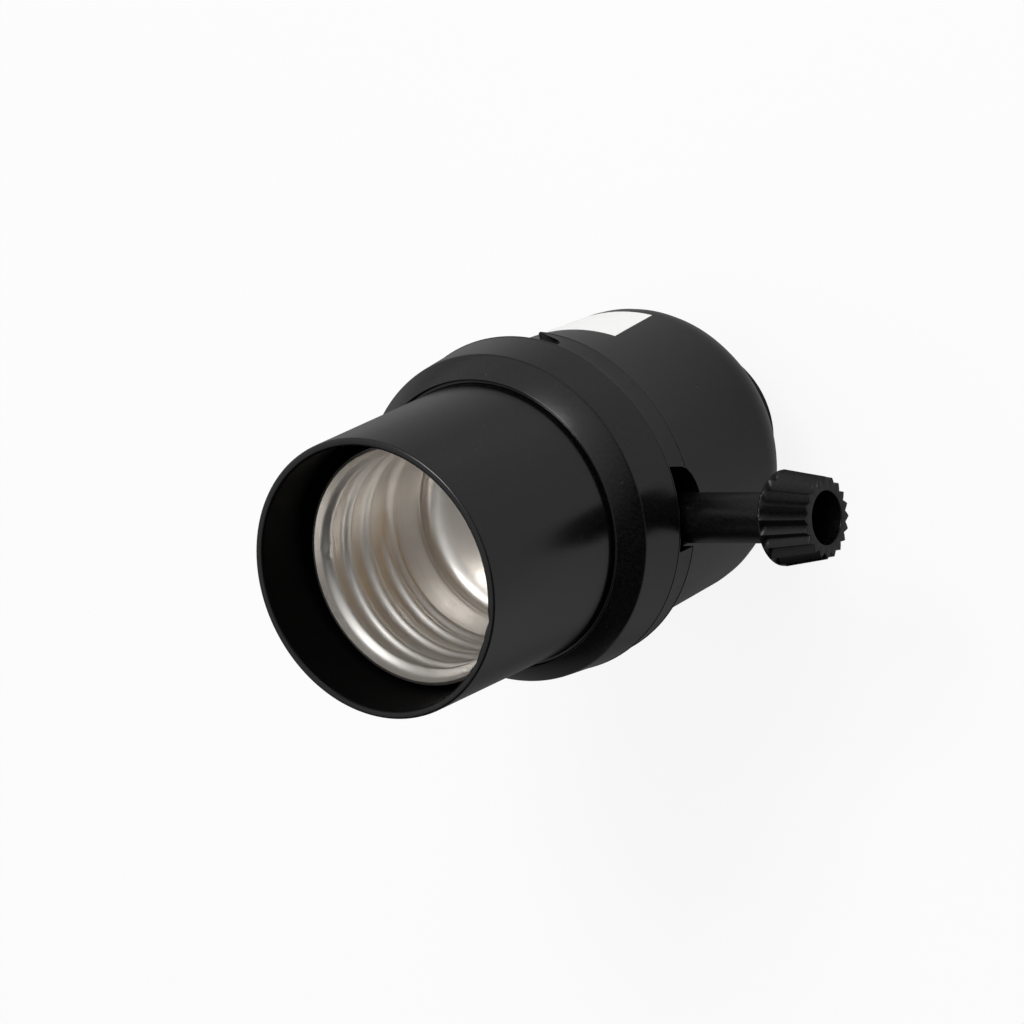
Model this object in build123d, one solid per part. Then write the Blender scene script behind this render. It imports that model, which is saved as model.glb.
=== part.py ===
"""Turn knob lamp socket for a medium screw base bulb.

Millimetres. +Z runs along the bulb axis, out of the socket's mouth. The origin is the centre of the
hub's rear face, where the lamp pipe screws in. The knob's shaft points along +X.
"""
from build123d import *
import math
import os

# Screw shell: the bulb's thread sets the size across the whole socket
bulb_thread_radius = 13.35
thread_depth = 0.9
thread_pitch = 3.629
thread_turns = 4
thread_round = 0.8
sheet_thickness = 0.4
shell_flare = 0.65
shell_lip_length = 0.7
first_crest_drop = 2.05
shell_length = 21.7
bottom_inset = 0.55

# The switch unit's sizes are given for a thread radius of 13.35, and keep their shares when it changes
layout = bulb_thread_radius / 13.35

# Front shell, from the mouth outwards and down to the seam
mouth_gap = 1.2
rim_wall = 0.95
barrel_draft = 0.3
barrel_length = 23.7
groove_width = 0.45
groove_depth = 0.8
groove_round = 0.15
crest_rise = 2.85
face_width = 2.4
flange_draft = 0.6
flange_height = 6.35
flange_wall = 2.2
flange_roof = 3.0
shoulder_round = 0.7

# Rear cap
band_step = 0.25
band_height = 3.5
band_chamfer = 0.25
band_draft = 0.1
cap_inset = 1.6
cap_draft = 0.85
cap_body_height = 19.1
cap_wall = 1.65
dome_radius = 7.2
foot_round = 0.2
hub_height = 6.6
hub_radius = 9.85
hub_floor = 2.0

# Edges and fits
edge_round = 0.3
seam_chamfer = 0.15
running_gap = 0.05
fixed_gap = 0.02
cut_margin = 1.0

# Snap tongues that hold the two mouldings together, and the pry slots beside them
tongue_width = 8.0
tongue_thickness = 1.0
tongue_height = 4.5
tongue_root = 1.0
barb_reach = 0.6
barb_height = 1.3
barb_lead = 0.6
tongue_inset = 0.1
snap_gap = 0.25
pry_width = 11.6
pry_height = 1.4
pry_depth = 1.0

# Switch unit, which sits a little to one side in its pocket
unit_shift = -0.5
unit_gap = 0.6
plug_gap = 0.7
shell_seat_height = 2.8
shell_pocket_gap = 0.35
cover_length = 24.0 * layout
cover_width = 21.2 * layout
cover_height = 11.8
cover_corner_inset = 0.7
cover_chamfer = 0.5

# Shaft, knob stem and the notch that they leave through
shaft_radius = 2.0 * layout
shaft_end_radius = 1.6 * layout
shaft_side = -2.2 * layout
shaft_drop = 4.1
shaft_inner_length = 6.5 * layout
shaft_step_gap = 0.3
shaft_chamfer = 0.3
stem_radius = 2.9 * layout
stem_clearance = 0.9
notch_radius = 5.6 * layout
notch_side = 1.3
notch_drop = 2.0

# Knob
stem_length = 13.8
head_length = 6.25
head_back_radius = 5.54 * layout
head_front_radius = 4.63 * layout
rib_count = 20
rib_root_share = 0.86
rib_phase = 6.0
head_round = 1.0
knob_hole_radius = 3.06 * layout
knob_hole_depth = 4.4
shaft_grip = 12.2
grip_end_gap = 0.4

# Rotor, its contact bar and the detent
rotor_length = 7.2 * layout
rotor_start = -3.0 * layout
drum_length = 3.1 * layout
drum_radius = 3.9 * layout
bar_offset = 0.9
bar_thickness = 1.0
bar_width = 3.0
bar_ring = 1.3
bar_reach = 4.4 * layout
cam_flats = 6.0 * layout
cam_corner_radius = 4.0 * layout
cavity_radius = 5.0 * layout
end_play = 0.2
contact_gap = 0.3
strip_thickness = 0.5
pocket_gap = 0.2
leaf_thickness = 0.4
leaf_width = 3.4 * layout
leaf_span = 12.4 * layout
leaf_bow = 1.5
leaf_gap = 0.3
leaf_travel = 1.2

# Terminals, rivets and screws
plate_thickness = 0.8
plate_width = 8.0
plate_drop = 0.2
foot_overlap = 3.0
terminal_screw_radius = 2.0
terminal_screw_length = 4.4
terminal_screw_height = 3.7
terminal_head_radius = 3.3
terminal_head_height = 1.8
terminal_head_round = 0.5
screw_slot_width = 0.9
screw_slot_depth = 0.8
screw_end_gap = 0.5
rivet_radius = 1.0
rivet_head_radius = 1.4
rivet_clearance = 0.2
rivet_head_height = 0.5
rivet_head_round = 0.3
rivet_foot_depth = 0.8
ground_rivet_y = 8.8 * layout
side_rivet_x = 6.5 * layout
side_rivet_y = -6.1 * layout
cover_screw_radius = 1.25
cover_screw_head_radius = 2.5
cover_screw_head_height = 1.6
cover_screw_sink = 0.4
cover_screw_bite = 5.3
cover_screw_x = 9.4 * layout
cover_screw_y = 6.0 * layout

# Bottom of the screw shell and the centre contact
shell_corner = 2.4 * layout
shell_hole_radius = 6.5 * layout
insulator_gap = 0.4
insulator_thickness = 0.8
contact_rivet_x = -3.9 * layout
contact_rivet_radius = 0.9
contact_rivet_head = 0.5
contact_width = 3.2
contact_rise = 3.6
contact_foot = 1.6
contact_ramp = 2.8
contact_top = 1.6
contact_tip = 1.2
contact_bend = 0.8

# Threaded hub insert and its set screw
insert_radius = 6.2
insert_bore_radius = 4.65
insert_flange_radius = 7.8
insert_flange_height = 1.2
insert_flat_depth = 0.8
set_screw_radius = 1.75
set_screw_height = 3.3
set_screw_sink = 0.4
set_screw_point = 0.5
set_screw_reach = 0.15

# Plain paper label, stuck on a little askew
label_azimuth = 100.0
label_tilt = 7.5
label_width = 16.4 * layout
label_height = 10.0
label_rise = 6.35
label_thickness = 0.1

# Levels up the bulb axis
dome_top = hub_height + dome_radius
step_level = dome_top + cap_body_height
seam_level = step_level + band_height
shoulder_level = seam_level + flange_height
crest_level = shoulder_level + crest_rise
groove_level = crest_level - groove_depth
rim_level = groove_level + barrel_length
roof_level = groove_level - flange_roof
shaft_level = seam_level - shaft_drop
seat_level = seam_level + shell_seat_height
cover_bottom = shaft_level - cover_height
notch_level = seam_level - notch_drop
floor_level = hub_height + hub_floor
tongue_top = seam_level + tongue_height
insulator_top = seat_level + insulator_thickness
terminal_level = cover_bottom + terminal_screw_height
shell_top = seat_level + shell_length
label_level = dome_top + label_rise
load_level = shaft_level + bar_reach + contact_gap
finger_top = shaft_level - bar_reach - contact_gap

# Radii, each from the one inside or outside it
thread_inner_radius = bulb_thread_radius - thread_depth
shell_rim_radius = bulb_thread_radius + shell_flare
shell_bottom_radius = bulb_thread_radius - bottom_inset
bore_radius = shell_rim_radius + mouth_gap
rim_radius = bore_radius + rim_wall
barrel_base_radius = rim_radius + barrel_draft
crest_radius = barrel_base_radius + groove_width
shoulder_radius = crest_radius + face_width
flange_radius = shoulder_radius + flange_draft
band_radius = flange_radius - band_step
cap_top_radius = band_radius - cap_inset
cap_low_radius = cap_top_radius - cap_draft
pocket_radius = flange_radius - flange_wall
cap_bore_radius = cap_top_radius - cap_wall
unit_radius = pocket_radius - unit_gap
tongue_inner = cap_bore_radius + tongue_inset
tongue_outer = tongue_inner + tongue_thickness
plug_radius = cap_bore_radius - plug_gap
shell_pocket_radius = bulb_thread_radius + shell_pocket_gap
insulator_radius = shell_hole_radius - insulator_gap

# Places across the axis
shaft_y = shaft_side + unit_shift
notch_y = shaft_y + notch_side
cavity_start = rotor_start - end_play
cavity_end = rotor_start + rotor_length + end_play
bearing_length = plug_radius - shaft_step_gap
stem_start = plug_radius + stem_clearance
cover_face = cover_width / 2
bar_middle = rotor_start + bar_offset + bar_thickness / 2


def turned(points, rounds):
    """Solid of revolution about Z of a closed outline of (radius, height) points."""
    outline = FilletPolyline(*points, radius=rounds, close=True)
    return revolve(Plane.XZ * make_face(outline), Axis.Z)


def block(x_range, y_range, z_range):
    """Box between two corners, given as three ranges."""
    size = [high - low for low, high in (x_range, y_range, z_range)]
    middle = [(high + low) / 2 for low, high in (x_range, y_range, z_range)]
    return Pos(*middle) * Box(*size)


def upright_rod(radius, x, y, z_low, z_high):
    """Cylinder along Z."""
    rod = Cylinder(radius, z_high - z_low, align=(Align.CENTER, Align.CENTER, Align.MIN))
    return Pos(x, y, z_low) * rod


def cross_rod(radius, x_low, x_high, y, z):
    """Cylinder along X."""
    rod = Cylinder(radius, x_high - x_low, align=(Align.CENTER, Align.CENTER, Align.MIN))
    return Pos(x_low, y, z) * Rot(0, 90, 0) * rod


def side_rod(radius, y_low, y_high, x, z):
    """Cylinder along Y."""
    rod = Cylinder(radius, y_high - y_low, align=(Align.CENTER, Align.CENTER, Align.MIN))
    return Pos(x, y_low, z) * Rot(-90, 0, 0) * rod


def strip(points, rounds, thickness, width):
    """Bent strip of sheet: its middle line lies in the XZ plane, its width along Y."""
    middle_line = FilletPolyline(*points, radius=rounds)
    section = trace(middle_line, line_width=thickness)
    return extrude(Plane.XZ * section, width / 2, both=True)


def both_sides(maker):
    """The same shape at +Y and, turned half round, at -Y."""
    shape = maker()
    return [shape, Rot(0, 0, 180) * shape]


def arc_piece(outline, width, radius):
    """Outline of (radius, height) points turned about Z over a width, centred on +Y."""
    sweep = 2 * math.degrees(math.asin(width / 2 / radius))
    face = Plane.XZ * make_face(Polyline(*outline, close=True))
    return Rot(0, 0, 90 - sweep / 2) * revolve(face, Axis.Z, revolution_arc=sweep)


def snap_tongue():
    """Tongue that stands up from the cap's rim at +Y, with a barb that faces outwards."""
    barb_base = tongue_top - barb_lead - barb_height
    outline = [
        (tongue_inner, seam_level - tongue_root),
        (tongue_outer, seam_level - tongue_root),
        (tongue_outer, barb_base),
        (tongue_outer + barb_reach, barb_base + barb_reach / 2),
        (tongue_outer, tongue_top),
        (tongue_inner, tongue_top),
    ]
    return arc_piece(outline, tongue_width, tongue_outer)


def snap_recess():
    """Pocket in the front shell's wall that takes a tongue's barb."""
    outer = tongue_outer + barb_reach + snap_gap
    top = tongue_top + snap_gap
    low = tongue_top - barb_lead - barb_height - snap_gap
    outline = [(tongue_inner, low), (outer, low), (outer, top), (tongue_inner, top)]
    return arc_piece(outline, tongue_width + 2 * snap_gap, outer)


def tongue_gap():
    """Space for a tongue in the switch body's flange."""
    inner = tongue_inner - snap_gap
    outer = pocket_radius + cut_margin
    low = seam_level - cut_margin
    high = roof_level + cut_margin
    outline = [(inner, low), (outer, low), (outer, high), (inner, high)]
    return arc_piece(outline, tongue_width + 4 * snap_gap, tongue_inner)


def pry_slot():
    """Crescent cut in the band's front edge at +Y, for a screwdriver's tip."""
    slot_radius = (pry_width**2 / 4 + pry_height**2) / (2 * pry_height)
    middle = seam_level - pry_height + slot_radius
    return side_rod(slot_radius, band_radius - pry_depth, band_radius + cut_margin, 0, middle)


def front_shell():
    outline = [
        (bore_radius, rim_level),
        (rim_radius, rim_level),
        (barrel_base_radius, groove_level),
        (crest_radius, groove_level),
        (crest_radius, crest_level),
        (shoulder_radius, shoulder_level),
        (flange_radius, seam_level + seam_chamfer),
        (flange_radius - seam_chamfer, seam_level),
        (pocket_radius, seam_level),
        (pocket_radius, roof_level),
        (bore_radius, roof_level),
    ]
    rounds = [edge_round, edge_round, groove_round, groove_round, groove_round, shoulder_round]
    rounds += [0, 0, 0, edge_round, 0]
    shell = turned(outline, rounds)
    for recess in both_sides(snap_recess):
        shell -= recess
    return shell


def cap_shell():
    """The cap's turned form, before its notch, tongues and slots."""
    inner_dome = dome_radius - cap_wall
    low_inner = cap_low_radius - cap_wall
    outline = [
        (insert_radius, hub_height),
        (cap_low_radius, hub_height),
        (cap_top_radius, step_level),
        (band_radius - band_draft - band_chamfer, step_level),
        (band_radius - band_draft, step_level + band_chamfer),
        (band_radius, seam_level - seam_chamfer),
        (band_radius - seam_chamfer, seam_level),
        (cap_bore_radius, seam_level),
        (cap_bore_radius, step_level),
        (low_inner, floor_level),
        (insert_radius, floor_level),
    ]
    rounds = [0, dome_radius, foot_round, 0, 0, 0, 0, foot_round, 0, inner_dome, 0]
    bowl = turned(outline, rounds)
    hub_top = hub_height + hub_floor / 2
    hub = [(insert_radius, 0), (hub_radius, 0), (hub_radius, hub_top), (insert_radius, hub_top)]
    return bowl + turned(hub, [0, edge_round, 0, 0])


def stem_notch():
    """Deep round-bottomed notch in the cap's rim that the knob's stem leaves through."""
    x_range = (cap_bore_radius - notch_radius, band_radius + cut_margin)
    round_end = cross_rod(notch_radius, *x_range, notch_y, notch_level)
    y_range = (notch_y - notch_radius, notch_y + notch_radius)
    return round_end + block(x_range, y_range, (notch_level, seam_level + cut_margin))


def set_screw_hole():
    """Hole for the set screw, from outside the hub to inside the pipe's bore."""
    x_range = (-hub_radius - cut_margin, -insert_bore_radius + cut_margin)
    return cross_rod(set_screw_radius + fixed_gap, *x_range, 0, set_screw_height)


def rear_cap():
    cap = cap_shell()
    for tongue in both_sides(snap_tongue):
        cap += tongue
    cap -= stem_notch()
    for slot in both_sides(pry_slot):
        cap -= slot
    return cap - set_screw_hole()


def hub_insert():
    """Metal insert with the pipe's thread, left plain at the thread's inner diameter."""
    top = floor_level + insert_flange_height
    outline = [
        (insert_bore_radius, 0),
        (insert_radius - fixed_gap, 0),
        (insert_radius - fixed_gap, floor_level),
        (insert_flange_radius, floor_level),
        (insert_flange_radius, top),
        (insert_bore_radius, top),
    ]
    insert = turned(outline, [0, 0, 0, edge_round, edge_round, 0])
    reach = insert_flange_radius + cut_margin
    for side in (-1, 1):
        y_range = sorted((side * (insert_flange_radius - insert_flat_depth), side * reach))
        insert -= block((-reach, reach), y_range, (floor_level, top + cut_margin))
    return insert - set_screw_hole()


def set_screw():
    outer_end = -hub_radius + set_screw_sink
    inner_end = -insert_bore_radius - set_screw_reach
    screw = cross_rod(set_screw_radius, outer_end, inner_end, 0, set_screw_height)
    screw = chamfer(screw.edges().group_by(Axis.X)[-1], set_screw_point)
    slot_height = screw_slot_width / 2
    slot = block(
        (outer_end - cut_margin, outer_end + screw_slot_depth),
        (-set_screw_radius - cut_margin, set_screw_radius + cut_margin),
        (set_screw_height - slot_height, set_screw_height + slot_height),
    )
    return screw - slot


def rotor_cavity():
    """Space round the rotor, shared by the body's lower half and the cover."""
    return cross_rod(cavity_radius, cavity_start, cavity_end, shaft_y, shaft_level)


def shaft_bearing():
    """Running bore for the shaft, half in the body and half in the cover."""
    return cross_rod(
        shaft_radius + running_gap,
        -shaft_inner_length - end_play,
        plug_radius + cut_margin,
        shaft_y,
        shaft_level,
    )


def load_pocket():
    """Recess in the cavity's roof for the load contact and its rivet."""
    half = bar_width / 2 + 2 * pocket_gap
    return block(
        (contact_rivet_x - contact_foot - pocket_gap, rotor_start + drum_length),
        (shaft_y - half, shaft_y + half),
        (load_level - rivet_head_height - contact_gap, load_level + strip_thickness),
    )


def neutral_path(gap):
    """Space of the neutral terminal: an upright plate with a foot under the screw shell."""
    half = plate_width / 2 + gap
    inner = cover_face + unit_shift
    foot_low = seat_level - plate_thickness
    upright = block(
        (-half, half),
        (inner - gap, inner + plate_thickness + gap),
        (cover_bottom + plate_drop, seat_level),
    )
    foot = block(
        (-half, half),
        (ground_rivet_y - foot_overlap + unit_shift - gap, inner + plate_thickness),
        (foot_low, seat_level),
    )
    return upright + foot


def rivet_spots():
    """Places of the two rivets that hold the screw shell."""
    return [(0, ground_rivet_y + unit_shift), (side_rivet_x, side_rivet_y + unit_shift)]


def cover_screw_spots():
    """Places of the two screws that hold the switch cover."""
    return [(cover_screw_x, cover_screw_y + unit_shift), (-cover_screw_x, -cover_screw_y + unit_shift)]


def contact_rivet_hole(low, high):
    """Hole for the rivet under the centre contact."""
    return upright_rod(contact_rivet_radius + fixed_gap, contact_rivet_x, shaft_y, low, high)


def switch_body():
    """Upper insulating block: carries the screw shell and closes the rotor's space."""
    outline = [
        (0, shaft_level),
        (plug_radius, shaft_level),
        (plug_radius, seam_level),
        (unit_radius, seam_level),
        (unit_radius, roof_level),
        (shell_pocket_radius, roof_level),
        (shell_pocket_radius, seat_level),
        (0, seat_level),
    ]
    body = Pos(0, unit_shift, 0) * turned(outline, [0, edge_round, 0, 0, edge_round, edge_round, 0, 0])
    for gap in both_sides(tongue_gap):
        body -= gap
    body -= rotor_cavity()
    body -= shaft_bearing()
    body -= load_pocket()
    body -= neutral_path(running_gap)
    low = shaft_level - cut_margin
    high = seat_level + cut_margin
    for x, y in rivet_spots():
        body -= upright_rod(rivet_radius + fixed_gap, x, y, low, high)
        body -= upright_rod(rivet_head_radius + rivet_clearance, x, y, low, shaft_level + rivet_foot_depth)
    screw_end = shaft_level + cover_screw_bite + screw_end_gap
    for x, y in cover_screw_spots():
        body -= upright_rod(cover_screw_radius + fixed_gap, x, y, low, screw_end)
    return body - contact_rivet_hole(shaft_level, high)


def leaf_pocket():
    """Space in the cover for the detent leaf and the cam's corners."""
    half = leaf_span / 2 + leaf_gap
    x_low = rotor_start + drum_length + end_play / 2
    low = shaft_level - cam_flats / 2 - leaf_bow - leaf_thickness - leaf_travel
    high = shaft_level - cam_corner_radius + leaf_bow
    return block((x_low, cavity_end), (shaft_y - half, shaft_y + half), (low, high))


def finger_slot():
    """Slot in the cover for the line contact's finger."""
    half = bar_width / 2 + running_gap
    wall = unit_shift - cover_face
    return block(
        (bar_middle - half, bar_middle + half),
        (wall - cut_margin, shaft_y + bar_width / 2 + pocket_gap),
        (finger_top - strip_thickness - running_gap, finger_top + contact_gap),
    )


def switch_cover():
    """Lower insulating block: the other half of the rotor's space, and the terminals' seat."""
    prism = block(
        (-cover_length / 2, cover_length / 2),
        (unit_shift - cover_face, unit_shift + cover_face),
        (cover_bottom, shaft_level),
    )
    corner_radius = plug_radius - cover_corner_inset
    cover = prism & upright_rod(corner_radius, 0, unit_shift, cover_bottom, shaft_level)
    cover = chamfer(cover.edges().group_by(Axis.Z)[0], cover_chamfer)
    cover -= rotor_cavity()
    cover -= shaft_bearing()
    cover -= leaf_pocket()
    cover -= finger_slot()
    for side in (-1, 1):
        inner = side * (cover_face - terminal_screw_length + plate_thickness - screw_end_gap)
        low, high = sorted((inner + unit_shift, side * (cover_face + cut_margin) + unit_shift))
        cover -= side_rod(terminal_screw_radius + pocket_gap / 2, low, high, 0, terminal_level)
    low = cover_bottom - cut_margin
    head_top = cover_bottom + cover_screw_head_height + cover_screw_sink
    for x, y in cover_screw_spots():
        cover -= upright_rod(cover_screw_radius + fixed_gap, x, y, low, shaft_level + cut_margin)
        cover -= upright_rod(cover_screw_head_radius + pocket_gap, x, y, low, head_top)
    return cover


def shell_wall(offset):
    """Points down the screw shell's wall from the lip to the last rolled turn, on one of its faces."""
    points = [(shell_rim_radius - offset, shell_top - shell_lip_length)]
    for turn in range(thread_turns):
        crest = shell_top - first_crest_drop - thread_pitch * turn
        points.append((thread_inner_radius + sheet_thickness - offset, crest))
        if turn < thread_turns - 1:
            points.append((bulb_thread_radius - offset, crest - thread_pitch / 2))
    points.append((shell_bottom_radius - offset, crest - thread_pitch / 2))
    return points


def screw_shell():
    """Drawn metal cup whose wall is rolled into the bulb's thread, with a round bottom corner."""
    outer = shell_wall(0)
    inner = shell_wall(sheet_thickness)
    floor_top = seat_level + sheet_thickness
    outline = [(shell_rim_radius - sheet_thickness, shell_top), (shell_rim_radius, shell_top)]
    outline += outer
    outline += [(shell_bottom_radius, seat_level), (shell_hole_radius, seat_level)]
    outline += [(shell_hole_radius, floor_top), (shell_bottom_radius - sheet_thickness, floor_top)]
    outline += inner[::-1]
    edge = sheet_thickness / 4
    waves = [thread_round] * (len(outer) - 2)
    inner_corner = shell_corner - sheet_thickness
    bottom = [sheet_thickness, shell_corner, 0, 0, inner_corner, sheet_thickness]
    rounds = [edge, edge, sheet_thickness] + waves + bottom + waves + [sheet_thickness]
    shell = Pos(0, unit_shift, 0) * turned(outline, rounds)
    low = seat_level - cut_margin
    for x, y in rivet_spots():
        shell -= upright_rod(rivet_radius + fixed_gap, x, y, low, floor_top + cut_margin)
    return shell


def shell_rivets():
    """Two rivets that hold the screw shell to the body, one of them through the neutral foot."""
    top = seat_level + sheet_thickness
    foot_top = shaft_level + rivet_foot_depth
    rivets = []
    for x, y in rivet_spots():
        shank = upright_rod(rivet_radius, x, y, foot_top, top)
        head = upright_rod(rivet_head_radius, x, y, top, top + rivet_head_height)
        head = fillet(head.edges().group_by(Axis.Z)[-1], rivet_head_round)
        foot = upright_rod(rivet_head_radius, x, y, foot_top - rivet_head_height, foot_top)
        rivets.append(shank + head + foot)
    return Compound(children=[rivet.solid() for rivet in rivets])


def insulator():
    """Fibre disc under the centre contact, inside the hole of the screw shell's bottom."""
    disc = upright_rod(insulator_radius, 0, unit_shift, seat_level, insulator_top)
    return disc - contact_rivet_hole(seat_level - cut_margin, insulator_top + cut_margin)


def center_contact():
    """Spring tongue that rises from its riveted foot to the middle of the socket."""
    half = strip_thickness / 2
    foot_level = insulator_top + half
    top = foot_level + contact_rise
    crown_start = contact_foot + contact_ramp
    crown_end = crown_start + contact_top
    path = [
        (-contact_foot, foot_level),
        (contact_foot, foot_level),
        (crown_start, top),
        (crown_end, top),
        (crown_end + contact_tip, top - contact_tip),
    ]
    tongue = strip(path, contact_bend, strip_thickness, contact_width)
    turn = math.degrees(math.atan2(-shaft_side, -contact_rivet_x))
    tongue = Pos(contact_rivet_x, shaft_y, 0) * Rot(0, 0, turn) * tongue
    return tongue - contact_rivet_hole(seat_level, insulator_top + cut_margin)


def load_contact():
    """Strip in the cavity's roof that the contact bar meets when the switch is on."""
    half = bar_width / 2 + pocket_gap
    plate = block(
        (contact_rivet_x - contact_foot, rotor_start + drum_length - pocket_gap),
        (shaft_y - half, shaft_y + half),
        (load_level, load_level + strip_thickness),
    )
    return plate - contact_rivet_hole(load_level - cut_margin, load_level + cut_margin)


def contact_rivet():
    """Rivet that joins the load contact below to the centre contact above."""
    high = insulator_top + strip_thickness
    head_radius = contact_rivet_radius + contact_rivet_head
    x, y = contact_rivet_x, shaft_y
    rivet = upright_rod(contact_rivet_radius, x, y, load_level, high)
    rivet += upright_rod(head_radius, x, y, load_level - rivet_head_height, load_level)
    rivet += upright_rod(head_radius, x, y, high, high + rivet_head_height)
    return rivet


def terminal_hole(side):
    """Hole for a terminal screw in its plate."""
    face = side * cover_face + unit_shift
    y_range = (face - cut_margin, face + cut_margin)
    return side_rod(terminal_screw_radius + fixed_gap, *y_range, 0, terminal_level)


def neutral_terminal():
    plate = neutral_path(0) - terminal_hole(1)
    x, y = rivet_spots()[0]
    low = seat_level - plate_thickness - cut_margin
    return plate - upright_rod(rivet_radius + fixed_gap, x, y, low, seat_level + cut_margin)


def hot_terminal():
    """Terminal plate with the line contact's finger bent in from its top edge."""
    face = unit_shift - cover_face
    half = plate_width / 2
    plate = block((-half, half), (face - plate_thickness, face), (cover_bottom + plate_drop, finger_top))
    finger = block(
        (bar_middle - bar_width / 2, bar_middle + bar_width / 2),
        (face - plate_thickness, shaft_y + bar_width / 2),
        (finger_top - strip_thickness, finger_top),
    )
    return plate + finger - terminal_hole(-1)


def terminal_screw(side):
    """Binding screw in a terminal plate, with a slotted head."""
    face = cover_face + plate_thickness
    shank = side_rod(terminal_screw_radius, face - terminal_screw_length, face, 0, terminal_level)
    head = side_rod(terminal_head_radius, face, face + terminal_head_height, 0, terminal_level)
    head = fillet(head.edges().group_by(Axis.Y)[-1], terminal_head_round)
    head_end = face + terminal_head_height
    slot_half = screw_slot_width / 2
    slot = block(
        (-terminal_head_radius - cut_margin, terminal_head_radius + cut_margin),
        (head_end - screw_slot_depth, head_end + cut_margin),
        (terminal_level - slot_half, terminal_level + slot_half),
    )
    screw = shank + head - slot
    if side < 0:
        screw = Rot(0, 0, 180) * screw
    return Pos(0, unit_shift, 0) * screw


def cover_screws():
    """Two long screws from the cover's underside into the body."""
    head_low = cover_bottom + cover_screw_sink
    head_top = head_low + cover_screw_head_height
    half = screw_slot_width / 2
    screws = []
    for x, y in cover_screw_spots():
        screw = upright_rod(cover_screw_radius, x, y, head_top, shaft_level + cover_screw_bite)
        screw += upright_rod(cover_screw_head_radius, x, y, head_low, head_top)
        reach = cover_screw_head_radius + cut_margin
        z_range = (head_low - cut_margin, head_low + screw_slot_depth)
        screw -= block((x - reach, x + reach), (y - half, y + half), z_range)
        screws.append(screw)
    return Compound(children=[screw.solid() for screw in screws])


def switch_shaft():
    """Brass shaft: thick in the switch, thinner where the knob grips it."""
    step = stem_start - 2 * shaft_step_gap
    inner = cross_rod(shaft_radius, -shaft_inner_length, step, shaft_y, shaft_level)
    outer = cross_rod(shaft_end_radius, bearing_length, stem_start + shaft_grip, shaft_y, shaft_level)
    shaft = inner + outer
    return chamfer(shaft.edges().group_by(Axis.X)[-1], shaft_chamfer)


def bar_outline(reach):
    """Contact bar as a flat shape across the shaft: a ring with two opposite arms."""
    ring = Circle(shaft_radius + bar_ring)
    arms = Rectangle(2 * (reach + cut_margin), bar_width) & Circle(reach)
    return (ring + arms) - Circle(shaft_radius + fixed_gap)


def contact_bar():
    """Stamped bar that turns with the rotor and bridges the two contacts when upright."""
    start = rotor_start + bar_offset
    bar = extrude(bar_outline(bar_reach), bar_thickness)
    return Pos(start, shaft_y, shaft_level) * Rot(0, 90, 0) * bar


def rotor():
    """Moulded rotor: a drum round the contact bar, and a square cam for the detent."""
    drum_end = rotor_start + drum_length
    drum = cross_rod(drum_radius, rotor_start, drum_end, shaft_y, shaft_level)
    cam_shape = Rectangle(cam_flats, cam_flats) & Circle(cam_corner_radius)
    cam = extrude(cam_shape, rotor_length - drum_length)
    cam = Pos(drum_end, shaft_y, shaft_level) * Rot(0, 90, 0) * cam
    x_range = (rotor_start - cut_margin, rotor_start + rotor_length + cut_margin)
    bore = cross_rod(shaft_radius + fixed_gap, *x_range, shaft_y, shaft_level)
    return drum + cam - bore - contact_bar()


def detent_spring():
    """Leaf bowed up against the cam's flat, which snaps the knob to each quarter turn."""
    top = shaft_level - cam_flats / 2 - running_gap
    half = leaf_span / 2
    crown = top - leaf_thickness / 2
    bow = ThreePointArc((-half, crown - leaf_bow), (0, crown), (half, crown - leaf_bow))
    section = trace(bow, line_width=leaf_thickness)
    leaf = extrude(Plane.YZ * section, leaf_width / 2, both=True)
    middle = (rotor_start + drum_length + end_play / 2 + cavity_end) / 2
    return Pos(middle, shaft_y, 0) * leaf


def rib_outline(tip_radius):
    """Star of pointed ribs, as a closed outline about its own centre."""
    points = []
    for step in range(2 * rib_count):
        radius = tip_radius if step % 2 == 0 else tip_radius * rib_root_share
        angle = math.radians(rib_phase) + math.pi * step / rib_count
        points.append((radius * math.cos(angle), radius * math.sin(angle)))
    return make_face(Polyline(*points, close=True))


def knob():
    """Stem and ribbed head, moulded in one and pressed on the shaft's end."""
    back = stem_length
    front = stem_length + head_length
    stem = upright_rod(stem_radius, 0, 0, 0, back + cut_margin)
    back_star = Pos(0, 0, back) * rib_outline(head_back_radius)
    front_star = Pos(0, 0, front) * rib_outline(head_front_radius)
    outline = [(0, back), (head_back_radius, back), (head_back_radius, front), (0, front)]
    head = loft([back_star, front_star]) & turned(outline, [0, head_round, 0, 0])
    bore = upright_rod(shaft_end_radius + fixed_gap, 0, 0, -cut_margin, shaft_grip + grip_end_gap)
    mouth = upright_rod(knob_hole_radius, 0, 0, front - knob_hole_depth, front + cut_margin)
    body = stem + head - bore - mouth
    return Pos(stem_start, shaft_y, shaft_level) * Rot(0, 90, 0) * body


def label_patch():
    """Prism that cuts the label's rectangle out of the cap's skin, on the label's side."""
    angle = math.radians(label_azimuth)
    across = (-math.sin(angle), math.cos(angle), 0)
    outwards = (math.cos(angle), math.sin(angle), 0)
    plane = Plane(origin=(0, 0, label_level), x_dir=across, z_dir=outwards)
    sheet = plane * Rot(0, 0, label_tilt) * Rectangle(label_width, label_height)
    return extrude(sheet, band_radius)


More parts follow.
